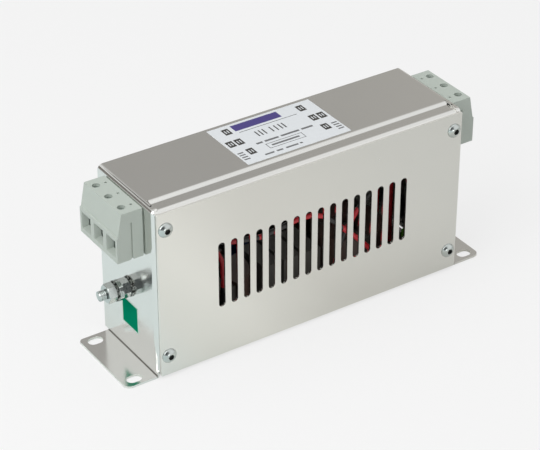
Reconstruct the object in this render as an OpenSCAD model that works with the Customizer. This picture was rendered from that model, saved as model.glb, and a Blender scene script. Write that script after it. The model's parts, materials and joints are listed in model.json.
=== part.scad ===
// Three-phase EMI line filter in a folded sheet-metal case with mounting feet.
//
// Frame: +X runs from the line end to the load end, +Y from the vented cover
// to the rear, +Z up. The origin is the centre of the four foot slots, in the
// plane that the feet stand on. All sizes are in millimetres.

/* [Case] */
// Length between the outer faces of the two end walls
case_len = 202.6; // [200:0.2:210]
// Height of the top face above the mounting plane
case_top = 106.4; // [105:0.2:112]
// Distance from the mounting-slot centre to the face of the vented cover
case_front = 28.7; // [28:0.1:30]
// Distance from the mounting-slot centre to the rear edges of the case
case_rear = 30.6; // [29.6:0.1:33]
// Thickness of the folded sheet
sheet_t = 1.2; // [1:0.1:1.5]
// Inner radius of the large folds
fold_r = 2.1; // [1.5:0.1:2.4]

/* [Front top edge] */
// Distance from the cover's face to the start of the step in the top
step_start = 13.4; // [12:0.2:15]
// Depth of the step
step_drop = 1.2; // [0.8:0.1:1.4]
// Distance from each end of the case in to the end of the top's stepped lip
lip_end_gap = 4; // [3.8:0.1:6.3]
// Depth of the lip's turned-down edge below its fold
lip_flange = 3.5; // [2:0.5:4]

/* [Feet] */
// Width of each foot, front to rear
foot_w = 53.5; // [50:0.5:54]
// Reach of each foot beyond the end wall
foot_reach = 19.3; // [17:0.1:24]
// Inner radius of the fold between wall and foot
foot_fold_r = 0.5; // [0.4:0.1:1]
// Corner radius at the front of each foot
foot_corner_front = 4; // [1:0.5:5]
// Corner radius at the rear of each foot
foot_corner_rear = 2.5; // [1:0.5:5]
// Mounting slot spacing along the case
slot_pitch_x = 226; // [223:0.5:228]
// Mounting slot spacing across the case
slot_pitch_y = 42.5; // [38:0.5:44]
// Mounting slot width
slot_w = 6.5; // [5:0.1:7]
// Mounting slot length, end to end
slot_len = 9; // [7.5:0.1:10]

/* [Vented cover] */
// Distance from each end of the case in to the end of the cover
cover_end_gap = 1.3; // [0.3:0.1:1.8]
// Distance from the case's top face down to the cover's upper edge
cover_top_gap = 2; // [1.8:0.1:3]
// Height of the cover's lower edge above the mounting plane
cover_bottom = 1.6; // [1.6:0.1:2]
// Number of vent slots
vent_count = 16; // [8:1:18]
// Distance between vent slots
vent_pitch = 8.07; // [7:0.01:9]
// Width of a vent slot
vent_w = 4.2; // [3:0.1:5]
// Height of a vent slot
vent_h = 41; // [30:1:50]
// Height of the vent slots' middle above the mounting plane
vent_mid = 53.6; // [50:0.1:56]

/* [Cover screws] */
// Screw thread diameter
screw_d = 5; // [4:0.5:5]
// Button head diameter
screw_head_d = 8.6; // [8:0.1:9.5]
// Button head height
screw_head_h = 2.6; // [2:0.1:3]
// Hexagon socket size across flats
screw_socket = 3; // [2.5:0.1:3.2]
// Distance from the cover's end edge to a screw
screw_inset = 5.3; // [5:0.1:6]
// Distance from the cover's lower edge to the lower screws
screw_inset_low = 12.2; // [11:0.1:14]
// Distance from the cover's upper edge to the upper screws
screw_inset_high = 10.4; // [10.2:0.1:14]

/* [Terminal blocks] */
// Distance between poles
pole_pitch = 13.2; // [12.5:0.1:14]
// Distance from the case's top face down to a block's top face
block_drop = 2.1; // [1.9:0.1:3.5]
// Height of a block
block_h = 29.4; // [28:0.1:32]
// Width of a block, front to rear
block_w = 39.4; // [39:0.1:41]
// Distance of a block's middle behind the slot centre
block_y = 2.2; // [0:0.1:3]
// Reach of the block's top face from the wall
block_top_reach = 13; // [12.5:0.1:14]
// Reach of the block's lower face from the wall
block_reach = 16.4; // [16:0.1:18]
// Wire entry width
entry_w = 9.8; // [8:0.1:10.4]
// Wire entry height
entry_h = 10.5; // [9:0.1:11]
// Screwdriver hole diameter
driver_hole_d = 4.5; // [4.3:0.1:5]

/* [Earth stud] */
// Thread diameter of the earth stud
stud_d = 6; // [5:1:6]
// Reach of the stud's tip from the wall
stud_reach = 19.2; // [16:0.1:24]
// Height of the stud above the mounting plane
stud_z = 44.9; // [44:0.1:48]
// Width across the flats of the stud's nuts
nut_af = 10; // [9:0.5:11]

/* [Labels] */
// Length of the rating label
label_len = 67.5; // [50:0.5:90]
// Width of the rating label
label_w = 42.5; // [30:0.5:44]
// Side of the square earth sticker
sticker_size = 17; // [12:0.5:20]
// Thickness of labels
label_t = 0.1; // [0.1:0.1:0.3]

/* [Circuit] */
// Circuit board length
board_len = 172; // [168:1:176]
// Circuit board width
board_w = 50; // [49:0.5:51]
// Height of the board's standoffs
standoff_h = 8; // [5:0.5:10]
// Diameter of the insulated wires
wire_d = 3; // [2:0.5:3]

/* [Hidden] */
$fn = 48;
eps = 0.01;
fit = 0.1;

wall = case_len / 2;
wall_in = wall - sheet_t;
fold_out = fold_r + sheet_t;
cover_t = 1.2;
flange_y = -case_front + cover_t;
ledge_z = case_top - step_drop;
foot_end = wall + foot_reach;
fold_gap = 1;
lip_len = case_len - 2 * lip_end_gap;

cover_len = case_len - 2 * cover_end_gap;
cover_top = case_top - cover_top_gap;
cover_h = cover_top - cover_bottom;
cover_corner = 0.8;
mark_d = 1.4;
mark_depth = 0.3;
mark_x = 42.5;
mark_z = cover_top - 12.2;

side_flange_w = 9.4;
side_flange_bottom = 5;
lip_bottom = ledge_z - fold_out - lip_flange;

step_r = 4.1;
step_r_low = 0.3;
step_angle = acos(1 - step_drop / (step_r + step_r_low));
step_run = (step_r + step_r_low) * sin(step_angle);
step_y = -case_front + step_start;
arc_steps = 8;

relief_y = step_y - 5.4;
relief_x = wall - 1.8;

tray_r = 0.6;
tray_bottom = 0.4;
tray_floor = tray_bottom + sheet_t;
tray_flange = 9;

screw_x = cover_len / 2 - screw_inset;
screw_low = cover_bottom + screw_inset_low;
screw_high = cover_top - screw_inset_high;
collar_wall = 0.6;
collar_len = 1.4;

block_top = case_top - block_drop;
block_bottom = block_top - block_h;
lip_z = block_bottom + 15.6;
lip_reach = block_reach - 0.8;
entry_floor = block_bottom + 2.8;
entry_mid = entry_floor + entry_h / 2;
throat_w = 7.4;
throat_h = 8;
throat_reach = 12.6;
cage_reach = 12.3;
cage_len = 6;
cage_w = 8;
cage_h = 15;
cage_wall = 1.1;
cage_bottom = block_bottom + 1.9;
bar_w = 5;
bar_t = 1.2;
bar_z = block_bottom + 11.4;
bar_mid = bar_z + bar_t / 2;
bar_inner = wall - 9.3;
pole_screw_d = 3.4;
pole_screw_reach = cage_reach - cage_len / 2;
boss_w = 35;
boss_h = 16;
boss_z = block_bottom + 8;
boss_depth = 4;

stud_y = 1;
washer_t = 1.2;
washer_gap = 0.03;
nut_h = 5;
lug_t = 0.8;
lug_barrel_d = 4.2;
lug_barrel_len = 7;
lug_barrel_z = stud_z - 16;
lug_overlap = 2;
stud_hole_d = stud_d + 0.4;
thread_pitch_d = stud_d - 0.65;
stud_chamfer = 0.7;
bolt_head_h = 4;

sticker_z = 26.2;
label_y = 7;

board_y = 2;
board_t = 1.6;
board_z = tray_floor + standoff_h;
board_top = board_z + board_t;
standoff_x = board_len / 2 - 6;
standoff_y = board_w / 2 - 4;
standoff_af = 5.5;
board_screw_d = 3;
board_screw_head_d = 5.6;
board_screw_head_h = 2;
board_screw_len = 5;

choke_x = 46;
choke_y = 5.5;
core_out_r = 19;
core_in_r = 10.5;
core_h = 16;
winding_t = 2.2;
winding_sweep = 96;
base_t = 1.5;
core_z = board_top + base_t + winding_t;

cap_size = [11.5, 26, 20];
cap_pitch = 13.5;
cap_y = 6;
disc_cap_y = 23;
disc_cap_d = 8;
disc_cap_t = 3.5;
disc_cap_stand = 1.2;
disc_cap_legs = 5;
resistor_y = -11;
resistor_d = 3.2;
resistor_len = 9;

// Routes of the insulated wires, from a terminal bar down to the board. The
// first two points hold each wire straight where it is soldered to its bar.
drop_inset = 26.3;
drop_x = wall - drop_inset;
function bar_end(x_side, pole) = [for (run = [0, 4])
    [x_side * (bar_inner - run), pole_y(pole), bar_mid]];
function short_drop(x_side, pole) = concat(bar_end(x_side, pole), [
    [x_side * (drop_x + 1), pole_y(pole), bar_mid - 13],
    [x_side * drop_x, pole_y(pole), bar_mid - 37],
    [x_side * drop_x, pole_y(pole), board_top + 4.8], [x_side * drop_x, pole_y(pole), board_top]]);
WIRE_ROUTES = [
    concat(bar_end(-1, 0), [[-76, -17, 77], [-60, -19.5, 69], [-30, -19.5, 62], [-4, -19.5, 65],
        [12, -19.5, 61], [28, -19.5, 46], [44, -19.5, 29], [51, -19.5, 16],
        [51, -19.5, board_top]]),
    concat(bar_end(-1, 1), [[-76, -4, 76], [-60, -14, 64], [-54, -18.7, 54], [-54, -18.7, 30],
        [-56, -18.7, 16], [-56, -18.7, board_top]]),
    short_drop(-1, 2),
    concat(bar_end(1, 0), [[70, -12, 76], [40, -13, 52], [27, -14, 32], [22, -17, 16],
        [22, -17, board_top]]),
    short_drop(1, 1),
    short_drop(1, 2),
];
lead_x = wall_in - lug_barrel_d / 2 - fit;
lead_top = lug_barrel_z + 4.1;
lead_straight = 7;
lead_bend = 6;
pad_reach = 13;
pad_rise = 3.8;
bend_rise = 7.8;
earth_pad_x = lead_x - pad_reach;
EARTH_ROUTE = [[lead_x, stud_y, lead_top], [lead_x, stud_y, lead_top - lead_straight / 2],
    [lead_x, stud_y, lead_top - lead_straight],
    [lead_x - lead_bend, stud_y, board_top + bend_rise],
    [earth_pad_x, stud_y, board_top + pad_rise], [earth_pad_x, stud_y, board_top]];

// ---- Shared shapes ---------------------------------------------------------

// A box given by its low and high corners.
module block(low, high) {
    translate(low) cube(high - low);
}

// Both ends of the case: the children are the load end, mirrored to the line end.
module both_ends() {
    children();
    mirror([1, 0, 0]) children();
}

// A folded length of sheet: part of a ring about the Z axis.
module fold(r_in, sweep, length) {
    rotate_extrude(angle = sweep) translate([r_in, 0]) square([sheet_t, length]);
}

// A fold that runs along X, centred on X = 0. Angles go from +Y towards +Z.
module fold_along_x(y, z, r_in, start, sweep, length) {
    translate([-length / 2, y, z]) rotate([90, 0, 90]) rotate(start) fold(r_in, sweep, length);
}

// A fold that runs along Y from y0 to y1. Angles go from +X towards +Z.
module fold_along_y(x, z, r_in, start, sweep, y0, y1) {
    translate([x, y1, z]) rotate([90, 0, 0]) rotate(start) fold(r_in, sweep, y1 - y0);
}

// A fold that runs along Z from z0 to z1. Angles go from +X towards +Y.
module fold_along_z(x, y, r_in, start, sweep, z0, z1) {
    translate([x, y, z0]) rotate(start) fold(r_in, sweep, z1 - z0);
}

// A flat slot with round ends, its length along the first axis.
module obround(length, width) {
    square([length - width, width], center = true);
    for (side = [-1, 1]) translate([side * (length - width) / 2, 0]) circle(d = width);
}

// A hexagonal prism with its flats up and down, along +X.
module hex_along_x(across_flats, length) {
    rotate([0, 90, 0]) rotate(30) cylinder(d = across_flats / cos(30), h = length, $fn = 6);
}

// A round bar along +X.
module rod_along_x(diameter, length) {
    rotate([0, 90, 0]) cylinder(d = diameter, h = length);
}

// ---- Swept wires -----------------------------------------------------------

function at(list, i) = list[max(0, min(len(list) - 1, i))];
function curve(p, i, t) = let (a = at(p, i - 1), b = at(p, i), c = at(p, i + 1), d = at(p, i + 2))
    0.5 * (2 * b + (c - a) * t + (2 * a - 5 * b + 4 * c - d) * t * t
        + (3 * b - a - 3 * c + d) * t * t * t);
function smooth_route(p, steps) = [
    for (i = [0 : len(p) - 2]) for (s = [0 : steps - 1]) curve(p, i, s / steps),
    p[len(p) - 1],
];
function unit(v) = v / norm(v);
function ring_at(centre, ahead, r, sides) = let (
        u = unit(cross(ahead, [0, 1, 0])),
        v = cross(ahead, u))
    [for (k = [0 : sides - 1]) centre + r * (cos(360 * k / sides) * u + sin(360 * k / sides) * v)];

// An insulated wire along a route of hand-set points.
module wire(points, diameter) {
    sides = 8;
    route = smooth_route(points, 2);
    end = len(route) - 1;
    first_step = points[1] - points[0];
    last_step = points[len(points) - 1] - points[len(points) - 2];
    rings = [for (i = [0 : end]) let (
            step = i == 0 ? first_step : i == end ? last_step : route[i + 1] - route[i - 1])
        each ring_at(route[i], unit(step), diameter / 2, sides)];
    last = end * sides;
    walls = [for (i = [0 : end - 1]) for (k = [0 : sides - 1]) let (
            a = i * sides + k,
            b = i * sides + (k + 1) % sides)
        [a, b, b + sides, a + sides]];
    ends = [[for (k = [0 : sides - 1]) sides - 1 - k], [for (k = [0 : sides - 1]) last + k]];
    polyhedron(rings, concat(walls, ends), convexity = 6);
}

// ---- Case ------------------------------------------------------------------

// One end of the chassis: wall, its folds, the cover's flange and the foot.
module chassis_end() {
    fold_y = flange_y + fold_out;
    fold_z = case_top - fold_out;
    wall_foot = sheet_t + foot_fold_r;
    difference() {
        union() {
            block([wall_in, fold_y, wall_foot], [wall, case_rear, fold_z]);
            block([wall_in, -foot_w / 2, wall_foot],
                [wall, fold_y + eps, side_flange_bottom - fold_gap]);
        }
        terminal_window();
        translate([wall_in - 1, stud_y, stud_z]) rod_along_x(stud_hole_d, sheet_t + 2);
    }
    difference() {
        union() {
            fold_along_y(wall - fold_out, fold_z, fold_r, 0, 90, fold_y, case_rear);
            fold_along_z(wall - fold_out, fold_y, fold_r, 270, 90, side_flange_bottom, fold_z);
            corner_ball(fold_y, fold_z);
        }
        block([wall - fold_out - 1, flange_y - 1, lip_bottom], [relief_x, relief_y, case_top + 1]);
    }
    side_flange();
    fold_along_y(wall + foot_fold_r, wall_foot, foot_fold_r, 180, 90, -foot_w / 2, foot_w / 2);
    foot();
}

// The drawn corner where the top's side fold meets the wall's front fold.
module corner_ball(fold_y, fold_z) {
    translate([wall - fold_out, fold_y, fold_z]) rotate(270) rotate_extrude(angle = 90)
        intersection() {
            difference() {
                circle(fold_out);
                circle(fold_r);
            }
            square(fold_out);
        }
}

// The hole in the end wall that the terminal block's boss fills.
module terminal_window() {
    block([wall_in - 1, block_y - boss_w / 2 - fit, boss_z - fit],
        [wall + 1, block_y + boss_w / 2 + fit, boss_z + boss_h + fit]);
}

// The flange behind the cover, with collars drawn and tapped for its screws.
module side_flange() {
    x_out = wall - fold_out;
    difference() {
        union() {
            block([x_out - side_flange_w, flange_y, side_flange_bottom],
                [x_out, flange_y + sheet_t, lip_bottom - fold_gap]);
            for (z = [screw_low, screw_high]) translate([screw_x, flange_y, z])
                rotate([-90, 0, 0])
                    cylinder(r = screw_d / 2 + collar_wall, h = sheet_t + collar_len);
        }
        for (z = [screw_low, screw_high]) translate([screw_x, flange_y - 1, z])
            rotate([-90, 0, 0]) cylinder(d = screw_d, h = sheet_t + collar_len + 2);
    }
}

// One mounting foot with two slots, its outer corners rounded.
module foot() {
    root = wall + foot_fold_r;
    front = foot_corner_front;
    rear = foot_corner_rear;
    linear_extrude(sheet_t) difference() {
        union() {
            translate([root, -foot_w / 2]) square([foot_end - front - root, foot_w]);
            translate([foot_end - front - eps, front - foot_w / 2])
                square([front + eps, foot_w - front - rear]);
            translate([foot_end - front - eps, foot_w / 2 - rear - eps])
                square([front - rear + eps, rear + eps]);
            translate([foot_end - front, front - foot_w / 2]) circle(front);
            translate([foot_end - rear, foot_w / 2 - rear]) circle(rear);
        }
        for (side = [-1, 1]) translate([slot_pitch_x / 2, side * slot_pitch_y / 2])
            obround(slot_len, slot_w);
    }
}

// Points on an arc about a centre, between two angles.
function arc(centre, r, from, to) = [
    for (i = [0 : arc_steps]) let (a = from + (to - from) * i / arc_steps)
        centre + r * [cos(a), sin(a)],
];

// The top's front edge: a step down, a narrow ledge and a turned-down lip.
module front_lip() {
    high = [step_y, case_top - step_r];
    low = [step_y - step_run, ledge_z + step_r_low];
    edge = [flange_y + fold_out, ledge_z - fold_out];
    translate([-lip_len / 2, 0, 0]) rotate([90, 0, 90]) linear_extrude(lip_len) polygon(concat(
        [[step_y + 1, case_top]],
        arc(high, step_r, 90, 90 + step_angle),
        arc(low, step_r_low, 270 + step_angle, 270),
        arc(edge, fold_out, 90, 180),
        [[flange_y, lip_bottom], [flange_y + sheet_t, lip_bottom]],
        arc(edge, fold_r, 180, 90),
        arc(low, step_r_low + sheet_t, 270, 270 + step_angle),
        arc(high, step_r - sheet_t, 90 + step_angle, 90),
        [[step_y + 1, case_top - sheet_t]]));
}

// Top, end walls, cover flanges and feet, folded from one sheet.
module chassis() {
    color([0.80, 0.81, 0.79]) union() {
        block([fold_out - wall, step_y, case_top - sheet_t], [wall - fold_out, case_rear, case_top]);
        front_lip();
        both_ends() chassis_end();
    }
}

// Rear wall and bottom, folded from a second sheet and welded inside the first.
module rear_tray() {
    out_r = tray_r + sheet_t;
    rear_in = case_rear - sheet_t;
    half = wall_in;
    top = case_top - sheet_t;
    top_half = wall - fold_out - fold_gap;
    front_half = wall - fold_out - side_flange_w - fold_gap;
    color([0.74, 0.75, 0.73]) union() {
        block([out_r - half, rear_in, tray_bottom + out_r], [half - out_r, case_rear, top - out_r]);
        fold_along_x(case_rear - out_r, top - out_r, tray_r, 0, 90, 2 * top_half);
        block([-top_half, case_rear - out_r - tray_flange, top - sheet_t],
            [top_half, case_rear - out_r, top]);
        both_ends() {
            fold_along_z(half - out_r, case_rear - out_r, tray_r, 0, 90, tray_bottom + out_r,
                top - 2 * out_r);
            block([half - sheet_t, case_rear - out_r - tray_flange, tray_bottom + out_r],
                [half, case_rear - out_r, top - 2 * out_r]);
        }
        fold_along_x(case_rear - out_r, tray_bottom + out_r, tray_r, 270, 90, 2 * (half - out_r));
        block([out_r - half, flange_y + out_r, tray_bottom],
            [half - out_r, case_rear - out_r, tray_floor]);
        fold_along_x(flange_y + out_r, tray_bottom + out_r, tray_r, 180, 90, 2 * front_half);
        block([-front_half, flange_y, tray_bottom + out_r],
            [front_half, flange_y + sheet_t, tray_bottom + out_r + tray_flange]);
    }
}

// The flat vented cover, with a small centre-punch mark near its upper edge.
module front_cover() {
    corner = cover_corner;
    color([0.82, 0.81, 0.79]) translate([0, flange_y, 0]) rotate([90, 0, 0]) difference() {
        linear_extrude(cover_t) difference() {
            union() {
                translate([-cover_len / 2, cover_bottom + corner])
                    square([cover_len, cover_h - 2 * corner]);
                translate([corner - cover_len / 2, cover_bottom])
                    square([cover_len - 2 * corner, cover_h]);
                for (x = [-1, 1]) for (z = [0, 1])
                    translate([x * (cover_len / 2 - corner),
                        cover_bottom + corner + z * (cover_h - 2 * corner)]) circle(corner);
            }
            for (i = [0 : vent_count - 1])
                translate([(i - (vent_count - 1) / 2) * vent_pitch, vent_mid])
                    rotate(90) obround(vent_h, vent_w);
            for (x = [-screw_x, screw_x]) for (z = [screw_low, screw_high])
                translate([x, z]) circle(d = screw_d + 4 * fit);
        }
        translate([mark_x, mark_z, cover_t - mark_depth]) cylinder(d = mark_d, h = 1);
    }
}

// One button-head cap screw along +Z, its head above Z = 0.
module button_screw() {
    rim = 0.5;
    socket_depth = 1.6;
    crown = screw_head_h - rim;
    dome_r = (pow(crown, 2) + pow(screw_head_d / 2, 2)) / (2 * crown);
    shank = cover_t + sheet_t + collar_len + 1.5;
    difference() {
        union() {
            rotate_extrude() intersection() {
                translate([0, screw_head_h - dome_r]) circle(dome_r);
                square([screw_head_d / 2, screw_head_h]);
            }
            translate([0, 0, -shank]) cylinder(d = screw_d, h = shank + eps);
        }
        translate([0, 0, screw_head_h - socket_depth])
            cylinder(d = screw_socket / cos(30), h = socket_depth + 1, $fn = 6);
    }
}

module cover_screws() {
    color([0.62, 0.63, 0.62])
        for (x = [-screw_x, screw_x]) for (z = [screw_low, screw_high])
            translate([x, -case_front, z]) rotate([90, 0, 0]) button_screw();
}

// ---- Terminal blocks ---------------------------------------------------------

// The middle of a pole, counted 0 to 2 from the front.
function pole_y(pole) = block_y + (pole - 1) * pole_pitch;

// The tapered wire entry of one pole at the load end.
module wire_entry(pole) {
    flare = 0.3;
    mouth = wall + block_reach + 1;
    throat = wall + throat_reach;
    mouth_w = entry_w + 2 * flare;
    mouth_h = entry_h + 2 * flare;
    intersection() {
        translate([0, pole_y(pole) + entry_w, 0]) rotate([90, 0, 0]) linear_extrude(2 * entry_w)
            polygon([[throat, entry_mid - throat_h / 2], [mouth, entry_mid - mouth_h / 2],
                [mouth, entry_mid + mouth_h / 2], [throat, entry_mid + throat_h / 2]]);
        translate([0, pole_y(pole), entry_mid - entry_h]) linear_extrude(2 * entry_h)
            polygon([[throat, -throat_w / 2], [mouth, -mouth_w / 2],
                [mouth, mouth_w / 2], [throat, throat_w / 2]]);
    }
}

// The chamber of one pole: clamp space, screwdriver hole, bar slot, test hole.
module pole_chamber(pole) {
    test_hole_d = 1.5;
    test_hole_reach = 3.5;
    test_hole_depth = 5;
    y = pole_y(pole);
    block([wall + cage_reach - cage_len - fit, y - cage_w / 2 - fit, cage_bottom],
        [wall + throat_reach + eps, y + cage_w / 2 + fit, cage_bottom + cage_h + 2]);
    translate([wall + pole_screw_reach, y, cage_bottom])
        cylinder(d = driver_hole_d, h = block_top - cage_bottom + 1);
    block([bar_inner, y - bar_w / 2 - fit, bar_z],
        [wall + cage_reach, y + bar_w / 2 + fit, bar_z + bar_t + fit]);
    translate([wall + test_hole_reach, y, block_top - test_hole_depth])
        cylinder(d = test_hole_d, h = test_hole_depth + 1);
}

// Moulded three-pole housing at the load end, with a boss through the wall.
module terminal_housing() {
    half = block_w / 2;
    groove_x = wall + 7.4;
    groove_w = 0.9;
    groove_depth = 0.6;
    groove_top = block_top - 6.8;
    rim = 0.8;
    rim_gap = 0.6;
    difference() {
        union() {
            translate([wall, block_y + half, 0]) rotate([90, 0, 0]) linear_extrude(block_w)
                polygon([[rim_gap, block_bottom], [block_reach, block_bottom],
                    [block_reach, lip_z - 0.4], [block_reach - 0.3, lip_z],
                    [lip_reach, lip_z + 0.2], [block_top_reach, block_top],
                    [rim_gap, block_top]]);
            block([wall, block_y - half + rim, block_bottom + rim],
                [wall + rim_gap + eps, block_y + half - rim, block_top - rim]);
            block([wall - boss_depth, block_y - boss_w / 2, boss_z],
                [wall + eps, block_y + boss_w / 2, boss_z + boss_h]);
        }
        for (pole = [0 : 2]) {
            wire_entry(pole);
            pole_chamber(pole);
        }
        for (side = [-1, 1])
            block([groove_x - groove_w / 2, block_y + side * half - groove_depth, block_bottom - 1],
                [groove_x + groove_w / 2, block_y + side * half + groove_depth, groove_top]);
        block([groove_x - groove_w, block_y - half - 1, block_bottom - 1],
            [groove_x + groove_w, block_y + half + 1, block_bottom + 0.5]);
    }
}

module line_terminal_housing() {
    color([0.72, 0.76, 0.73]) mirror([1, 0, 0]) terminal_housing();
}

module load_terminal_housing() {
    color([0.72, 0.76, 0.73]) terminal_housing();
}

// The rising clamp of one pole: a square tube with a tapped top.
module clamp_cage(pole) {
    x_in = wall + cage_reach - cage_len;
    y = pole_y(pole);
    color([0.70, 0.71, 0.70]) difference() {
        block([x_in, y - cage_w / 2, cage_bottom], [x_in + cage_len, y + cage_w / 2, cage_bottom + cage_h]);
        block([x_in - 1, y - cage_w / 2 + cage_wall, cage_bottom + cage_wall],
            [x_in + cage_len + 1, y + cage_w / 2 - cage_wall, cage_bottom + cage_h - 2 * cage_wall]);
        translate([wall + pole_screw_reach, y, cage_bottom + cage_h / 2])
            cylinder(d = pole_screw_d, h = cage_h);
    }
}

// The flat bar that carries one pole's current through the wall.
module terminal_bar(pole) {
    y = pole_y(pole);
    color([0.80, 0.72, 0.52])
        block([bar_inner, y - bar_w / 2, bar_z], [wall + cage_reach, y + bar_w / 2, bar_z + bar_t]);
}

// One slotted clamp screw, standing on its bar.
module pole_screw() {
    shank = 12.4;
    head_h = 2.6;
    slot_t = 0.8;
    slot_depth = 1.2;
    difference() {
        union() {
            cylinder(d = pole_screw_d, h = shank + eps);
            translate([0, 0, shank]) cylinder(d = driver_hole_d - 0.3, h = head_h);
        }
        translate([-driver_hole_d / 2, -slot_t / 2, shank + head_h - slot_depth])
            cube([driver_hole_d, slot_t, slot_depth + 1]);
    }
}

module terminal_screws() {
    color([0.66, 0.67, 0.66]) both_ends() for (pole = [0 : 2])
        translate([wall + pole_screw_reach, pole_y(pole), bar_z + bar_t]) pole_screw();
}

// ---- Earth studs -------------------------------------------------------------

// Reach of each layer of the stack from the wall.
nut_1 = washer_t;
plain_1 = nut_1 + nut_h;
plain_2 = plain_1 + washer_t;
tooth_2 = plain_2 + washer_t;
nut_2 = tooth_2 + washer_t;

stack_end = nut_2 + nut_h;

// A hexagon bolt put in from the inside. Its thread is drawn plain: at the
// crest where it is free, and at the pitch diameter inside the nuts.
module earth_studs() {
    head_x = wall_in - lug_t;
    free_x = wall + stack_end + 0.2;
    tip_x = wall + stud_reach - stud_chamfer;
    color([0.66, 0.68, 0.66]) both_ends() translate([0, stud_y, stud_z]) {
        translate([head_x - bolt_head_h, 0, 0]) hex_along_x(nut_af, bolt_head_h);
        translate([head_x - eps, 0, 0]) rod_along_x(stud_d, wall + nut_1 - head_x + eps);
        translate([wall, 0, 0]) rod_along_x(thread_pitch_d, stud_reach - stud_chamfer);
        translate([wall + plain_1, 0, 0]) rod_along_x(stud_d, nut_2 - plain_1);
        translate([free_x, 0, 0]) rod_along_x(stud_d, tip_x - free_x);
        translate([tip_x, 0, 0]) rotate([0, 90, 0])
            cylinder(d1 = stud_d, d2 = stud_d - 2 * stud_chamfer, h = stud_chamfer);
    }
}

// A hexagon nut with both faces chamfered.
module nut() {
    corner_d = nut_af / cos(30);
    chamfer = 0.6;
    difference() {
        intersection() {
            hex_along_x(nut_af, nut_h);
            rotate([0, 90, 0]) rotate_extrude() polygon([[0, 0], [nut_af / 2, 0],
                [corner_d / 2, chamfer], [corner_d / 2, nut_h - chamfer],
                [nut_af / 2, nut_h], [0, nut_h]]);
        }
        translate([-1, 0, 0]) rod_along_x(thread_pitch_d, nut_h + 2);
    }
}

module earth_nuts() {
    color([0.66, 0.68, 0.66]) both_ends() for (reach = [nut_1, nut_2])
        translate([wall + reach, stud_y, stud_z]) nut();
}

// An external-tooth lock washer: a thin ring with twisted teeth.
module tooth_washer() {
    ring_t = 0.7;
    ring_d = 9;
    tooth = [ring_t, 2, 1.9];
    teeth = 10;
    difference() {
        union() {
            translate([(washer_t - ring_t) / 2, 0, 0]) rod_along_x(ring_d, ring_t);
            for (i = [0 : teeth - 1]) rotate([360 / teeth * i, 0, 0])
                translate([washer_t / 2, 0, ring_d / 2 + 0.5]) rotate([0, 0, 14])
                    cube(tooth, center = true);
        }
        translate([-1, 0, 0]) rod_along_x(stud_hole_d, washer_t + 2);
    }
}

module earth_tooth_washers() {
    color([0.62, 0.64, 0.62]) both_ends() for (reach = [0, tooth_2])
        translate([wall + reach, stud_y, stud_z]) tooth_washer();
}

module earth_plain_washers() {
    plain_d = 12;
    color([0.68, 0.70, 0.69]) both_ends() for (reach = [plain_1, plain_2])
        translate([wall + reach, stud_y, stud_z]) difference() {
            rod_along_x(plain_d, washer_t - washer_gap);
            translate([-1, 0, 0]) rod_along_x(stud_hole_d, washer_t + 2);
        }
}

// Crimped ring lug under the stud's head, inside the case.
module earth_lug() {
    ring_d = 12;
    tongue_w = 5;
    crimp = 2;
    x = wall_in - lug_t;
    color([0.78, 0.77, 0.72]) difference() {
        union() {
            translate([x, stud_y, stud_z]) rod_along_x(ring_d, lug_t);
            block([x, stud_y - tongue_w / 2, lug_barrel_z + lug_overlap],
                [wall_in, stud_y + tongue_w / 2, stud_z]);
            translate([lead_x, stud_y, lug_barrel_z]) cylinder(d = lug_barrel_d, h = lug_barrel_len);
        }
        translate([x - 1, stud_y, stud_z]) rod_along_x(stud_hole_d, lug_t + 2);
        translate([lead_x, stud_y, lug_barrel_z - 1])
            cylinder(d = wire_d, h = lug_barrel_len - crimp + 1);
    }
}

module earth_lead() {
    color([0.35, 0.60, 0.22]) wire(EARTH_ROUTE, wire_d);
}

// ---- Labels --------------------------------------------------------------------

module earth_sticker() {
    color([0.01, 0.50, 0.37])
        block([wall, stud_y - sticker_size / 2, sticker_z - sticker_size / 2],
            [wall + label_t, stud_y + sticker_size / 2, sticker_z + sticker_size / 2]);
}

module rating_label() {
    color([0.92, 0.93, 0.95])
        block([-label_len / 2, label_y - label_w / 2, case_top],
            [label_len / 2, label_y + label_w / 2, case_top + label_t]);
}

// ---- Circuit ---------------------------------------------------------------------

// The four places of the board's standoffs.
module at_standoffs() {
    for (x = [-standoff_x, standoff_x]) for (y = [-standoff_y, standoff_y])
        translate([x, board_y + y, 0]) children();
}

module circuit_board() {
    color([0.10, 0.16, 0.11]) difference() {
        block([-board_len / 2, board_y - board_w / 2, board_z],
            [board_len / 2, board_y + board_w / 2, board_top]);
        at_standoffs() translate([0, 0, board_z - 1])
            cylinder(d = board_screw_d + 2 * fit, h = board_t + 2);
    }
}

module insulation_sheet() {
    past_ends = 9;
    past_sides = 0.5;
    insulation_t = 0.3;
    color([0.86, 0.84, 0.74]) difference() {
        block([-board_len / 2 - past_ends, board_y - board_w / 2 - past_sides, tray_floor],
            [board_len / 2 + past_ends, board_y + board_w / 2, tray_floor + insulation_t]);
        at_standoffs() translate([0, 0, tray_floor - 1]) cylinder(d = standoff_af + 2, h = 3);
    }
}

module board_standoffs() {
    color([0.75, 0.70, 0.50]) at_standoffs() translate([0, 0, tray_floor]) difference() {
        cylinder(d = standoff_af / cos(30), h = standoff_h, $fn = 6);
        translate([0, 0, 2]) cylinder(d = board_screw_d, h = standoff_h);
    }
}

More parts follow.
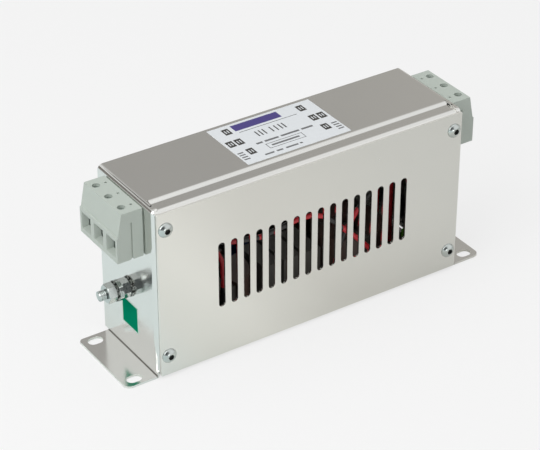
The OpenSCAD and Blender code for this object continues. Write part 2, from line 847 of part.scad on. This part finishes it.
module board_screws() {
    cross_len = 3;
    cross_t = 0.6;
    color([0.66, 0.67, 0.66]) at_standoffs() translate([0, 0, board_top]) difference() {
        union() {
            cylinder(d = board_screw_head_d, h = board_screw_head_h);
            translate([0, 0, -board_screw_len])
                cylinder(d = board_screw_d, h = board_screw_len + eps);
        }
        for (turn = [0, 90]) rotate(turn)
            translate([-cross_len / 2, -cross_t / 2, board_screw_head_h / 2])
                cube([cross_len, cross_t, board_screw_head_h]);
    }
}

// Moulded base of a choke, with a three-armed divider that fills its core's bore.
module choke_base() {
    arm_t = 1.6;
    color([0.06, 0.06, 0.06]) translate([choke_x, choke_y, board_top]) {
        cylinder(r = core_out_r + 1, h = base_t);
        for (turn = [30, 150, 270]) rotate(turn) translate([0, -arm_t / 2, 0])
            cube([core_in_r - fit, arm_t, base_t + winding_t + core_h]);
        cylinder(r = 2, h = base_t + winding_t + core_h);
    }
}

module choke_core() {
    color([0.10, 0.10, 0.10]) translate([choke_x, choke_y, core_z]) difference() {
        cylinder(r = core_out_r, h = core_h);
        translate([0, 0, -1]) cylinder(r = core_in_r, h = core_h + 2);
    }
}

// One of three windings: a sleeve of wire that wraps a third of the core.
module winding(i) {
    color([0.30, 0.12, 0.07]) translate([choke_x, choke_y, core_z])
        rotate(90 + 120 * i - winding_sweep / 2) rotate_extrude(angle = winding_sweep)
            difference() {
                translate([core_in_r - winding_t, -winding_t])
                    square([core_out_r - core_in_r + 2 * winding_t, core_h + 2 * winding_t]);
                translate([core_in_r, 0]) square([core_out_r - core_in_r, core_h]);
            }
}

// Boxed film capacitor across two phases.
module x_capacitor(i) {
    color([0.12, 0.12, 0.13])
        translate([(i - 1) * cap_pitch - cap_size[0] / 2, cap_y - cap_size[1] / 2, board_top])
            cube(cap_size);
}

// Disc capacitor from a phase to earth, standing on two leads.
module y_capacitor(i) {
    lead_d = 0.7;
    middle = disc_cap_stand + disc_cap_d / 2;
    color([0.10, 0.25, 0.45]) translate([(i - 1) * cap_pitch, disc_cap_y, board_top]) {
        translate([0, -disc_cap_t / 2, middle]) rotate([-90, 0, 0])
            cylinder(d = disc_cap_d, h = disc_cap_t);
        for (side = [-1, 1]) translate([side * disc_cap_legs / 2, 0, 0])
            cylinder(d = lead_d, h = middle);
    }
}

// Three resistors that discharge the capacitors, lying on the board.
module bleed_resistors() {
    lead_d = 0.6;
    leg_t = 0.8;
    leg_gap = 0.7;
    leg_h = (resistor_d + leg_t) / 2;
    color([0.55, 0.45, 0.33]) for (i = [0 : 2])
        translate([(i - 1) * cap_pitch, resistor_y, board_top + resistor_d / 2]) {
            translate([-resistor_len / 2, 0, 0]) rod_along_x(resistor_d, resistor_len);
            translate([-resistor_len / 2 - 1, 0, 0]) rod_along_x(lead_d, resistor_len + 2);
            for (side = [-1, 1])
                translate([side * (resistor_len + 2 * leg_gap + leg_t) / 2, 0, (leg_t - leg_h) / 2])
                    cube([leg_t, leg_t, leg_h], center = true);
        }
}

module hookup_wire(i) {
    color([0.72, 0.08, 0.08]) wire(WIRE_ROUTES[i], wire_d);
}

// Poles 1 to 3 are the line end and 4 to 6 the load end, each from the front.
module at_end(number) {
    mirror([number <= 3 ? 1 : 0, 0, 0]) children();
}

chassis();
rear_tray();
front_cover();
cover_screws();
line_terminal_housing();
load_terminal_housing();
terminal_screws();
for (i = [1 : 6]) at_end(i) clamp_cage((i - 1) % 3);
for (i = [1 : 6]) at_end(i) terminal_bar((i - 1) % 3);
earth_studs();
earth_nuts();
earth_tooth_washers();
earth_plain_washers();
at_end(1) earth_lug();  // line_earth_lug
earth_lug();  // load_earth_lug
at_end(1) earth_lead();  // line_earth_lead
earth_lead();  // load_earth_lead
at_end(1) earth_sticker();  // line_earth_sticker
earth_sticker();  // load_earth_sticker
rating_label();
circuit_board();
insulation_sheet();
board_standoffs();
board_screws();
at_end(1) choke_base();  // line_choke_base
at_end(1) choke_core();  // line_choke_core
for (i = [1 : 3]) at_end(1) winding(i);
choke_base();  // load_choke_base
choke_core();  // load_choke_core
for (i = [1 : 3]) winding(i);
for (i = [1 : 3]) x_capacitor(i - 1);
for (i = [1 : 3]) y_capacitor(i - 1);
bleed_resistors();
for (i = [1 : 6]) hookup_wire(i - 1);
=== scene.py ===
import json
import math

import bpy
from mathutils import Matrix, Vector

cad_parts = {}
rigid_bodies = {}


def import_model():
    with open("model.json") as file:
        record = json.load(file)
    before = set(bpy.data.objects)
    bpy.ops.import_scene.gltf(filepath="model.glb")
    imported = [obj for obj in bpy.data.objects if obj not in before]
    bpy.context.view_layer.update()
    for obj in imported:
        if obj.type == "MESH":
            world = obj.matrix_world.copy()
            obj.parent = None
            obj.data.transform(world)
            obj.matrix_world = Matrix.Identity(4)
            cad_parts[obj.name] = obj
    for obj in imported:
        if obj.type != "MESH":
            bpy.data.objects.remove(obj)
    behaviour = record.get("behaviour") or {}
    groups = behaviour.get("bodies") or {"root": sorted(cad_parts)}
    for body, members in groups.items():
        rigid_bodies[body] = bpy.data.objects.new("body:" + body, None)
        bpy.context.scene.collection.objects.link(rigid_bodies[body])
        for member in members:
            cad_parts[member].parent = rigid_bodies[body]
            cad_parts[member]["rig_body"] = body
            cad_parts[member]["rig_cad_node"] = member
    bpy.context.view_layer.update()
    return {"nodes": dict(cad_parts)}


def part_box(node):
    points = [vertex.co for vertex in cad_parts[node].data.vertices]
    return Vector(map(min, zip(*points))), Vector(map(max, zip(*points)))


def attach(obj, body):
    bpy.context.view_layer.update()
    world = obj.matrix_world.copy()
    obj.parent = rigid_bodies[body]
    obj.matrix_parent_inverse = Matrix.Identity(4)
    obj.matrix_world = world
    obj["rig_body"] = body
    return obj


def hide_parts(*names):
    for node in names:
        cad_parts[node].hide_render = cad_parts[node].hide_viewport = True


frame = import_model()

# ---- Camera ------------------------------------------------------------------
# A short telephoto lens, in front of the line end and above it. The case is
# about 1.2 m away, so its edges run together only a little.

bpy.ops.object.camera_add(
    location=(-0.5501, -0.8149, 0.6699),
    rotation=(math.radians(57.73), 0, math.radians(-33.51)))
camera = bpy.context.object
camera.data.lens = 137.8
camera.data.sensor_width = 36
bpy.context.scene.camera = camera
bpy.context.scene.view_settings.view_transform = "Standard"

# ---- Studio ------------------------------------------------------------------
# A pale floor in an even, soft light from four square lamps. The upright steel
# mirrors white card and white floor, and the top mirrors a grey room behind.


def srgb(colour):
    """The linear colour, with alpha, of a hex sRGB colour."""
    parts = [int(colour[i:i + 2], 16) / 255 for i in (1, 3, 5)]
    return [p / 12.92 if p <= 0.04045 else ((p + 0.055) / 1.055) ** 2.4 for p in parts] + [1]


def feed(tree, source, socket):
    """Links a source, which is a node and one of its outputs, to a socket."""
    tree.links.new(source[0].outputs[source[1]], socket)


def add(tree, kind, settings={}, links={}):
    """Adds a node with its settings and sources. A socket goes by its name or its place."""
    node = tree.nodes.new(kind)
    for name, value in settings.items():
        if isinstance(name, int) or name in node.inputs:
            node.inputs[name].default_value = value
        else:
            setattr(node, name, value)
    for socket, source in links.items():
        feed(tree, source, node.inputs[socket])
    return node


def blend(tree, share, first, second):
    """A source that goes from a first colour to a second. Each is a hex colour or a source."""
    mix = add(tree, "ShaderNodeMix", {"data_type": "RGBA"}, {0: share})
    first_colour, second_colour, mixed_colour = 6, 7, 2
    for socket, colour in ((first_colour, first), (second_colour, second)):
        if isinstance(colour, str):
            mix.inputs[socket].default_value = srgb(colour)
        else:
            feed(tree, colour, mix.inputs[socket])
    return mix, mixed_colour


def place_axes(tree):
    """The node whose outputs are the X, Y and Z of a point in object coordinates."""
    place = add(tree, "ShaderNodeTexCoord")
    return add(tree, "ShaderNodeSeparateXYZ", {}, {"Vector": (place, "Object")})


# The air round the set, as metal mirrors it: each layer is laid over the last where a
# direction points its way, from where it starts to where it is full.
world = bpy.data.worlds.new("studio_air")
world.use_nodes = True
bpy.context.scene.world = world
air = world.node_tree
air.nodes.clear()
rays = add(air, "ShaderNodeLightPath")
direction = add(air, "ShaderNodeTexCoord")
shade = "#aaa8a5"
for colour, toward, starts, full in (
        ("#b9b6b1", (1, 0, 0), 0.46, 0.62),                # paler at the right end
        ("#ffffff", (0, -1, 0), 0.10, 0.45),               # white card in front
        ("#fafbfb", (-1, 0, 0), -0.15, 0.30),              # pale wall on the left
        ("#7d7a75", (-0.62, 0.74, 0.25), 0.93, 0.955),     # grey screen, back left
        ("#4e5153", (-0.50, -0.72, 0.48), 0.78, 0.94),     # dark round the camera
        ("#f5f5f5", (0, 0, -1), -0.12, -0.02),             # white floor to the horizon
        ("#f4f4f4", (0, 0, 1), 0.62, 0.80)):               # bright ceiling
    along = add(air, "ShaderNodeVectorMath", {"operation": "DOT_PRODUCT", 1: toward},
                {0: (direction, "Generated")})
    share = add(air, "ShaderNodeMapRange", {"From Min": starts, "From Max": full},
                {"Value": (along, "Value")})
    shade = blend(air, (share, "Result"), shade, colour)

# Dull surfaces get a plain light that grows upward, the way of the last layer.
soft = add(air, "ShaderNodeMapRange", {"To Min": 0.05, "To Max": 1.0}, {"Value": (along, "Value")})
even = blend(air, (rays, "Is Diffuse Ray"), shade, (soft, "Result"))
backdrop = blend(air, (rays, "Is Camera Ray"), even, "#f5f5f5")
sky = add(air, "ShaderNodeBackground", {}, {"Color": backdrop})
add(air, "ShaderNodeOutputWorld", {}, {"Surface": (sky, "Background")})

# The floor lies a hair below the feet. Metal mirrors it in tones that change from left to right:
# painted light, a pool that is brightest a little left of the middle and dimmer to each side, most
# to the right. The camera sees it as nearly plain white.
bpy.ops.mesh.primitive_plane_add(size=12, location=(0, 0, -0.0002))
floor = bpy.context.object
floor.name = "studio_floor"
paper = bpy.data.materials.new("matt_white_paper")
paper.use_nodes = True
sheet = paper.node_tree
sheet.nodes.clear()
sheet_rays = add(sheet, "ShaderNodeLightPath")
from_left = add(sheet, "ShaderNodeMapRange", {"From Min": -0.3, "From Max": 0.3},
                {"Value": (place_axes(sheet), "X")})
# Painted light: the floor's tone as metal mirrors it, brightest a little left of the middle and
# dimmer to the right.
mirrored_painted_light = add(sheet, "ShaderNodeValToRGB", {}, {"Fac": (from_left, "Result")})
stops = mirrored_painted_light.color_ramp.elements
stops[0].position, stops[0].color = 0.30, srgb("#e2ecec")
stops[1].position, stops[1].color = 0.75, srgb("#dcdcd8")
for position, colour in ((0.39, "#ebede8"), (0.45, "#f3f3ee"), (0.55, "#e2e1dc")):
    stops.new(position).color = srgb(colour)
unmirrored = blend(sheet, (sheet_rays, "Is Diffuse Ray"), "#f5f5f5", "#dcdcdc")
paper_tone = blend(sheet, (sheet_rays, "Is Glossy Ray"), unmirrored, (mirrored_painted_light, "Color"))
lit = add(sheet, "ShaderNodeBsdfDiffuse", {}, {"Color": paper_tone})
plain = add(sheet, "ShaderNodeEmission", {"Color": srgb("#f5f5f5")})
seen = add(sheet, "ShaderNodeMath", {"operation": "MULTIPLY", 1: 0.75},
           {0: (sheet_rays, "Is Camera Ray")})
mixed = add(sheet, "ShaderNodeMixShader", {}, {0: (seen, 0), 1: (lit, 0), 2: (plain, 0)})
add(sheet, "ShaderNodeOutputMaterial", {}, {"Surface": (mixed, 0)})
floor.data.materials.append(paper)


def softbox(name, place, size, power):
    """A square area light aimed at the case."""
    line = Vector((0, 0, 0.05)) - Vector(place)
    bpy.ops.object.light_add(type="AREA", location=place,
                             rotation=line.to_track_quat("-Z", "Y").to_euler())
    light = bpy.context.object
    light.name = name
    light.data.size = size
    light.data.energy = power


softbox("overhead_softbox", (-0.3, 0, 2.2), 2.4, 6)
softbox("left_softbox", (-1.0, -0.25, 0.85), 1.0, 7)
softbox("front_softbox", (-0.21, -1.25, 0.17), 0.26, 0.6)
softbox("glow_inside_the_case", (0, -0.0265, 0.05), 0.09, 0.01)

# ---- Folded case ---------------------------------------------------------------
# The chassis is one sheet of bright steel, sheared and folded on a press brake.
# Its top, end walls and feet are left bare, with the mill's faint grain.


def deselect_all():
    bpy.ops.object.select_all(action="DESELECT")


def clean_copy(node, name):
    """A copy of a part with its flat faces joined, riding and replacing it."""
    same_point, same_plane = 0.000002, math.radians(0.3)
    deselect_all()
    part = frame["nodes"][node]
    part.select_set(True)
    bpy.context.view_layer.objects.active = part
    bpy.ops.object.duplicate()
    piece = bpy.context.object
    piece.name = name
    piece.data.name = name
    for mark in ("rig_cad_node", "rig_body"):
        del piece[mark]
    bpy.ops.object.mode_set(mode="EDIT")
    bpy.ops.mesh.select_all(action="SELECT")
    bpy.ops.mesh.remove_doubles(threshold=same_point)
    bpy.ops.mesh.dissolve_limited(angle_limit=same_plane)
    bpy.ops.object.mode_set(mode="OBJECT")
    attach(piece, "root")
    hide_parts(node)
    return piece


def break_edges(piece, edge, smooth=25):
    """Breaks the sharp edges by edge mm and shades folds smooth while flats stay flat."""
    bpy.context.view_layer.objects.active = piece
    if edge:
        bevel = piece.modifiers.new("broken_edges", "BEVEL")
        bevel.width = edge / 1000
        bevel.segments = 2
        bevel.angle_limit = math.radians(smooth)
        bpy.ops.object.modifier_apply(modifier=bevel.name)
    bpy.ops.object.shade_smooth_by_angle(angle=math.radians(smooth))
    flats = piece.modifiers.new("flats_stay_flat", "WEIGHTED_NORMAL")
    flats.keep_sharp = True
    flats.weight = 80
    bpy.ops.object.modifier_apply(modifier=flats.name)


def select_points(piece, test):
    """Goes into edit mode with only the points of a piece selected that pass a test in mm."""
    deselect_all()
    piece.select_set(True)
    bpy.context.view_layer.objects.active = piece
    bpy.ops.object.mode_set(mode="EDIT")
    bpy.ops.mesh.select_mode(type="VERT")
    bpy.ops.mesh.select_all(action="DESELECT")
    bpy.ops.object.mode_set(mode="OBJECT")
    for point in piece.data.vertices:
        point.select = test(*(1000 * c for c in point.co))
    bpy.ops.object.mode_set(mode="EDIT")


def new_finish(name, colour, roughness, metallic=0.0):
    """A material, its nodes and its shader, with the settings that are the same all over."""
    material = bpy.data.materials.new(name)
    material.use_nodes = True
    shader = material.node_tree.nodes["Principled BSDF"]
    shader.inputs["Base Color"].default_value = srgb(colour)
    shader.inputs["Roughness"].default_value = roughness
    shader.inputs["Metallic"].default_value = metallic
    return material, material.node_tree, shader


def noise(tree, size, detail, roughness=0.5, length=1):
    """Noise that repeats about every size mm, drawn out along X by a length."""
    place = add(tree, "ShaderNodeTexCoord"), "Object"
    if length != 1:
        place = add(tree, "ShaderNodeMapping", {"Scale": (1 / length, 1, 1)},
                    {"Vector": place}), "Vector"
    return add(tree, "ShaderNodeTexNoise", {
        "Scale": 1000 / size, "Detail": detail, "Roughness": roughness}, {"Vector": place}), "Fac"


def texture(tree, shader, pattern, roughness, spread, strength, depth):
    """Varies the roughness by a pattern, which also stands out by a depth in mm."""
    gloss = add(tree, "ShaderNodeMapRange", {
        "To Min": roughness - spread, "To Max": roughness + spread}, {"Value": pattern})
    feed(tree, (gloss, "Result"), shader.inputs["Roughness"])
    relief = add(tree, "ShaderNodeBump", {"Strength": strength, "Distance": depth / 1000},
                 {"Height": pattern})
    feed(tree, (relief, "Normal"), shader.inputs["Normal"])


def rolled_steel(name, light, dark, roughness):
    """Bright rolled sheet: a soft mirror, slightly cloudy, with a faint grain along X."""
    material, tree, shader = new_finish(name, light, roughness, metallic=1.0)
    tone = blend(tree, noise(tree, 60, 4, 0.6), light, dark)
    feed(tree, tone, shader.inputs["Base Color"])
    grain = noise(tree, 0.8, 3, 0.7, length=20)
    texture(tree, shader, grain, roughness, spread=0.05, strength=0.04, depth=0.02)
    return material


def sheared_steel(name, colour, roughness=0.55):
    """The cut edge of the sheet: coarse and dull, so it catches light from all round."""
    material, tree, shader = new_finish(name, colour, roughness, metallic=1.0)
    tear = noise(tree, 0.4, 3)
    texture(tree, shader, tear, roughness, spread=0.1, strength=0.3, depth=0.05)
    return material


def paint(piece, material):
    piece.data.materials.clear()
    piece.data.materials.append(material)


bright_steel = rolled_steel("bright_rolled_steel", "#e9e9e6", "#e2e2df", 0.16)
cut_edge = sheared_steel("sheared_steel_edge", "#e9e8e3")
chassis = clean_copy("chassis", "folded_chassis")

# At each end the rolled corner reaches to just short of the stepped lip, and the fold
# below it runs down to the foot. The points to move are found by their place in mm.
corner_end, corner_front, corner_low = 99.5, -20, 98
fold_side, fold_front, fold_end = 97, -24.1, 5
near, toward_lip, toward_foot = 0.05, 2.05, 2
for side in (-1, 1):
    select_points(chassis, lambda x, y, z: abs(side * x - corner_end) < near
                  and y < corner_front and z > corner_low)
    bpy.ops.transform.translate(value=(-side * toward_lip / 1000, 0, 0))
    bpy.ops.object.mode_set(mode="OBJECT")
    select_points(chassis, lambda x, y, z: side * x > fold_side and y < fold_front
                  and abs(z - fold_end) < near)
    bpy.ops.transform.translate(value=(0, 0, -toward_foot / 1000))
    bpy.ops.object.mode_set(mode="OBJECT")
sheet_edge = 0.12
break_edges(chassis, sheet_edge)
paint(chassis, bright_steel)


def in_ranges(tree, *ranges):
    """A source that is 1 where two sources both lie in their range of low to high mm."""
    inside = [(add(tree, "ShaderNodeMath", {
        "operation": "COMPARE", 1: (low + high) / 2000, 2: (high - low) / 2000}, {0: value}), 0)
        for value, low, high in ranges]
    return add(tree, "ShaderNodeMath", {"operation": "MULTIPLY"}, dict(enumerate(inside))), 0


# Painted shade: a darker line is painted in the sharp fold between each wall and its foot,
# and in the narrow slit beside the cover, where shade falls. Each is a range of |X| and of Z or Y.
tree = bright_steel.node_tree
steel_colour = tree.nodes["Principled BSDF"].inputs["Base Color"]
tone = steel_colour.links[0].from_node, 2
spot = place_axes(tree)
from_middle = add(tree, "ShaderNodeMath", {"operation": "ABSOLUTE"}, {0: (spot, "X")})
for x0, x1, axis, low, high in (
        (101.2, 101.85, "Z", 0.5, 1.8),
        (99.85, 100.5, "Y", -27.7, -27.2)):
    line = in_ranges(tree, ((from_middle, 0), x0, x1), ((spot, axis), low, high))
    tone = blend(tree, line, tone, "#96948f")
feed(tree, tone, steel_colour)


def cut_faces(piece, finish, test):
    """Gives a second finish to the faces whose middle, in mm, and normal pass a test."""
    piece.data.materials.append(finish)
    for face in piece.data.polygons:
        x, y, z = (1000 * c for c in face.center)
        if test(x, y, z, face.normal):
            face.material_index = len(piece.data.materials) - 1


# The two ends of the stepped lip, and all round each foot.
lip_end, foot_root, foot_top = 97.3, 102, 1.15
cut_faces(chassis, cut_edge, lambda x, y, z, n: abs(n.x) > 0.9 and abs(abs(x) - lip_end) < 0.3
          or z < foot_top and abs(n.z) < 0.4 and abs(x) > foot_root)

# ---- Rear tray -----------------------------------------------------------------
# Rear wall and bottom are folded from a second sheet of the same steel, slipped
# inside the first and spot-welded to it.

tray = clean_copy("rear_tray", "folded_rear_tray")
break_edges(tray, sheet_edge)
paint(tray, bright_steel)

# ---- Circuit board ----------------------------------------------------------------
# A board on brass standoffs carries two ring chokes, capacitors and resistors, over
# an insulating sheet. Insulated wires are soldered from it to the terminal bars.


def moulded(name, colour, roughness, grit=0.5, strength=0.1):
    """Moulded plastic: an even colour under a fine spark-eroded texture."""
    material, tree, shader = new_finish(name, colour, roughness)
    pits = noise(tree, grit, 2)
    texture(tree, shader, pits, roughness, spread=0.06, strength=strength, depth=0.03)
    return material


# Dark plastics, lacquers and coatings, which catch little light behind the vents. The black nylon,
# the solder resist, the insulating sheet and the core's coating are painted lighter than they are,
# as painted light that stands in for the light that hardly reaches them.
black_nylon = moulded("black_moulded_nylon", "#45433e", 0.55)
dark_laminate = moulded("dark_green_solder_resist", "#3b4038", 0.4)
press_board = moulded("aramid_insulation_sheet", "#4a463c", 0.8)
core_paint = moulded("epoxy_coated_core", "#484640", 0.5)
# The enamelled copper is painted dark brown rather than copper, as painted shade for the windings
# that lie in shade behind the vents.
enamel_wire = moulded("enamelled_copper", "#4a3a33", 0.3)
earth_pvc = moulded("green_yellow_pvc_insulation", "#5b9a2e", 0.4)
blue_coat = moulded("blue_ceramic_coating", "#1d3f72", 0.35)
tan_coat = moulded("tan_resistor_lacquer", "#7c6a4c", 0.5)

# The wires' red is the one strong colour inside. Stretches of it that lie in deep shade are
# painted near black as painted shade, given as ranges of X and of Z.
wire_red = "#b8202a"
red_pvc = moulded("red_pvc_insulation", wire_red, 0.4)
tree = red_pvc.node_tree
spot = place_axes(tree)
tone = wire_red
for x0, x1, z0, z1 in (
        (-60, -50, 0, 38), (-60, -50, 61, 80), (-42, -31, 50, 80), (-27, -9, 50, 80),
        (14, 25, 30, 80), (25, 31.5, 20, 44), (40, 50, 40, 80), (52, 72, 0, 80)):
    shaded_stretch = in_ranges(tree, ((spot, "X"), x0, x1), ((spot, "Z"), z0, z1))
    tone = blend(tree, shaded_stretch, tone, "#232220")
feed(tree, tone, tree.nodes["Principled BSDF"].inputs["Base Color"])

for node, material in {
        "circuit_board": dark_laminate, "insulation_sheet": press_board,
        "line_choke_base": black_nylon, "load_choke_base": black_nylon,
        "line_choke_core": core_paint, "load_choke_core": core_paint,
        "bleed_resistors": tan_coat, "line_earth_lead": earth_pvc,
        "load_earth_lead": earth_pvc}.items():
    paint(frame["nodes"][node], material)
for i in (1, 2, 3):
    paint(frame["nodes"][f"x_capacitor_{i}"], black_nylon)
    paint(frame["nodes"][f"y_capacitor_{i}"], blue_coat)
    paint(frame["nodes"][f"line_winding_{i}"], enamel_wire)
    paint(frame["nodes"][f"load_winding_{i}"], enamel_wire)
for i in range(1, 7):
    wire = clean_copy(f"hookup_wire_{i}", f"red_hookup_wire_{i}")
    break_edges(wire, 0, smooth=60)
    paint(wire, red_pvc)

# ---- Terminal blocks -----------------------------------------------------------------
# A three-pole block at each end, moulded in pale grey polyamide, clipped into the
# wall. Each pole holds a zinc-plated rising clamp, its screw and a brass bar.


def plated(name, colour, roughness):
    """Zinc plate on steel: a dull metal with fine cloudy crystals."""
    material, tree, shader = new_finish(name, colour, roughness, metallic=1.0)
    crystals = noise(tree, 1.2, 4)
    texture(tree, shader, crystals, roughness, spread=0.1, strength=0.1, depth=0.03)
    return material


grey_polyamide = moulded("grey_moulded_polyamide", "#b7c0b8", 0.42, grit=0.6)
zinc_plate = plated("zinc_plated_steel", "#c3c9c7", 0.2)
brass = plated("tinned_brass", "#cfc7b0", 0.3)

for end in ("line", "load"):
    housing = clean_copy(f"{end}_terminal_housing", f"{end}_block_moulding")
    break_edges(housing, 0.25)
    paint(housing, grey_polyamide)
for i in range(1, 7):
    paint(frame["nodes"][f"clamp_cage_{i}"], zinc_plate)
    paint(frame["nodes"][f"terminal_bar_{i}"], brass)

# ---- Fasteners and earth studs -----------------------------------------------------------
# Zinc-plated screws, studs, nuts and washers, turned and stamped from steel. The
# toothed washers are of darker, hardened steel, and bite into the wall and the nut.

hard_steel = plated("hardened_spring_steel", "#9a9c99", 0.25)
# Dark grey zinc for the painted shade in the screws' sockets.
socket_shade_zinc = plated("zinc_painted_dark_for_socket_shade", "#4c4e4c", 0.6)
fasteners = {}
for node in ("cover_screws", "earth_studs", "earth_nuts", "earth_tooth_washers",
             "earth_plain_washers", "terminal_screws", "board_screws"):
    fasteners[node] = clean_copy(node, f"plated_{node}")

# The free end of each stud is cut with M6 thread, 1 mm from crest to crest. It is turned
# down to the thread's root, and each crest stands on it as a ring.
stud_y, stud_z, free_end, core_r, root = 1, 44.9, 116.3, 2, 0.87
for side in (-1, 1):
    select_points(fasteners["earth_studs"], lambda x, y, z: side * x > free_end - near
                  and math.hypot(y - stud_y, z - stud_z) > core_r)
    bpy.ops.transform.resize(
        value=(1, root, root),
        center_override=(side * free_end / 1000, stud_y / 1000, stud_z / 1000))
    bpy.ops.object.mode_set(mode="OBJECT")
for node, piece in fasteners.items():
    break_edges(piece, 0.1)
    paint(piece, hard_steel if node in ("earth_tooth_washers", "board_screws") else zinc_plate)

# Painted shade: the faces of each hex socket are painted dark grey, for the shade inside it.
screw_x, screw_low, screw_high, socket_r, shank_y = 94.7, 13.8, 94, 1.7, -29.2
cut_faces(fasteners["cover_screws"], socket_shade_zinc, lambda x, y, z, n: y < shank_y and math.hypot(
    abs(x) - screw_x, min(abs(z - screw_low), abs(z - screw_high))) < socket_r)


def empty_piece(name):
    """A piece with nothing in it yet, in edit mode, so that forms can be added to it."""
    deselect_all()
    bpy.ops.mesh.primitive_plane_add(size=1)
    piece = bpy.context.object
    piece.name = name
    bpy.ops.object.mode_set(mode="EDIT")
    bpy.ops.mesh.delete(type="VERT")
    return piece


crests_each, first_crest, crest_r, crest_size = 4, 0.6, 2.7, 0.3
crests = empty_piece("thread_crests")
for side in (-1, 1):
    for turn in range(crests_each):
        bpy.ops.mesh.primitive_torus_add(
            location=(side * (free_end + first_crest + turn) / 1000, stud_y / 1000, stud_z / 1000),
            rotation=(0, math.radians(90), 0), major_segments=48, minor_segments=8,
            major_radius=crest_r / 1000, minor_radius=crest_size / 1000)
bpy.ops.object.mode_set(mode="OBJECT")
bpy.ops.object.shade_smooth()
paint(crests, zinc_plate)
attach(crests, "root")
for node in ("board_standoffs", "line_earth_lug", "load_earth_lug"):
    paint(frame["nodes"][node], brass)

# ---- Front cover --------------------------------------------------------------------------
# A flat plate of the same bright steel, punched with sixteen vent slots and held by
# the four cover screws. Only its outer edges show the coarse cut.

cover = clean_copy("front_cover", "vented_cover")
break_edges(cover, sheet_edge)
paint(cover, bright_steel)
near_end, near_foot, near_top = 99.5, 2, 104
cut_faces(cover, cut_edge, lambda x, y, z, n: abs(n.y) < 0.5
          and (abs(x) > near_end or z < near_foot or z > near_top))

# ---- Label and stickers ----------------------------------------------------------------------
# A white polyester label on the top, printed in black, blue and grey with plain bars,
# and a green square below each earth stud. All are cut from self-adhesive film.

# The label is smooth with a faint sheen, and the green film is quite matt.
pale_film, print_green = "#dfe3e6", "#048664"
white_polyester = moulded("white_polyester_film", pale_film, 0.35, grit=2, strength=0.02)
green_vinyl = moulded("green_vinyl_film", print_green, 0.6, grit=2, strength=0.02)
paint(frame["nodes"]["rating_label"], white_polyester)

# The green film has a pale border, 0.6 mm wide, where its print stops short of the cut.
border = 0.6
tree = green_vinyl.node_tree
vinyl_shader = tree.nodes["Principled BSDF"]
vinyl_shader.inputs["Specular IOR Level"].default_value = 0.0
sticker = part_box("line_earth_sticker")
spot = place_axes(tree)
printed = in_ranges(tree, *(
    ((spot, axis), 1000 * sticker[0][i] + border, 1000 * sticker[1][i] - border)
    for i, axis in ((1, "Y"), (2, "Z"))))
feed(tree, blend(tree, printed, "#c4dfd4", print_green), vinyl_shader.inputs["Base Color"])
paint(frame["nodes"]["line_earth_sticker"], green_vinyl)
paint(frame["nodes"]["load_earth_sticker"], green_vinyl)

label_top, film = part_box("rating_label")[1][2], 0.00003


def printed_marks(name, colour, marks, lift=0):
    """A thin film of ink in the shape of bars, each given as x0, x1, y0, y1 in mm."""
    ink = empty_piece(name)
    for x0, x1, y0, y1 in marks:
        middle = ((x0 + x1) / 2000, (y0 + y1) / 2000, label_top + film * (1 + lift))
        bpy.ops.mesh.primitive_plane_add(size=0.001, location=middle)
        bpy.ops.transform.resize(value=(x1 - x0, y1 - y0, 1), center_override=middle)
    bpy.ops.object.mode_set(mode="OBJECT")
    body = ink.modifiers.new("ink_film", "SOLIDIFY")
    body.thickness = film
    bpy.ops.object.modifier_apply(modifier=body.name)
    paint(ink, moulded(name + "_ink", colour, 0.4, grit=1, strength=0.05))
    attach(ink, "root")


def row(y0, y1, *ends):
    """Bars of one height side by side, given as the x of each left and right end."""
    return [(left, right, y0, y1) for left, right in zip(ends[::2], ends[1::2])]


def frame_line(x0, x1, y0, y1, line):
    """The four sides of a box drawn with a thin line."""
    return [(x0, x1, y0, y0 + line), (x0, x1, y1 - line, y1),
            (x0, x0 + line, y0, y1), (x1 - line, x1, y0, y1)]


# Eight dark squares, each with two white strokes, stand round the lines of bars.
squares = [(x, y) for x in (-24.6, 24.6) for y in (21.8, 9.1, -2.9)] + [(-30, 9.1), (30, 9.1)]
upright_bars = [x + w for x in (-12, -9.6, -7.2, -2.6, 0.4, 3.2, 5.6) for w in (0, 0.8)]
half_w, half_h, stroke, half_stroke = 2.15, 3.2, 0.6, 1.5
printed_marks("dark_squares", "#33322f",
              [(x - half_w, x + half_w, y - half_h, y + half_h) for x, y in squares])
printed_marks("white_strokes", pale_film,
              [(x + left, x + left + stroke, y - half_stroke, y + half_stroke)
               for x, y in squares for left in (-1.1, 0.5)], lift=1)
printed_marks("blue_bar", "#41367e", [(-20, 10.5, 19.8, 26.3)])
printed_marks("black_lines", "#3a3a3a",
              [(-19, 19, 17.4, 17.8)]
              + frame_line(-14.2, 9.4, -6.2, -0.9, 0.35)
              + row(8.3, 14, *upright_bars))
printed_marks("grey_lines", "#6d6e70",
              row(1.2, 2.8, -18, -14, -12.6, -3.6, -2, 10, 11.5, 19)
              + row(-4.3, -2.8, -11.5, 6.5)
              + row(-11, -9.6, -20.4, -14.4, -12.8, -8.8, -6.8, 1.2, 2.4, 4)
              + [(x, x + 3.7, y, y + 1.1) for x in (-32.7, 29) for y in (-9.4, -7, -4.6, -2.2)])
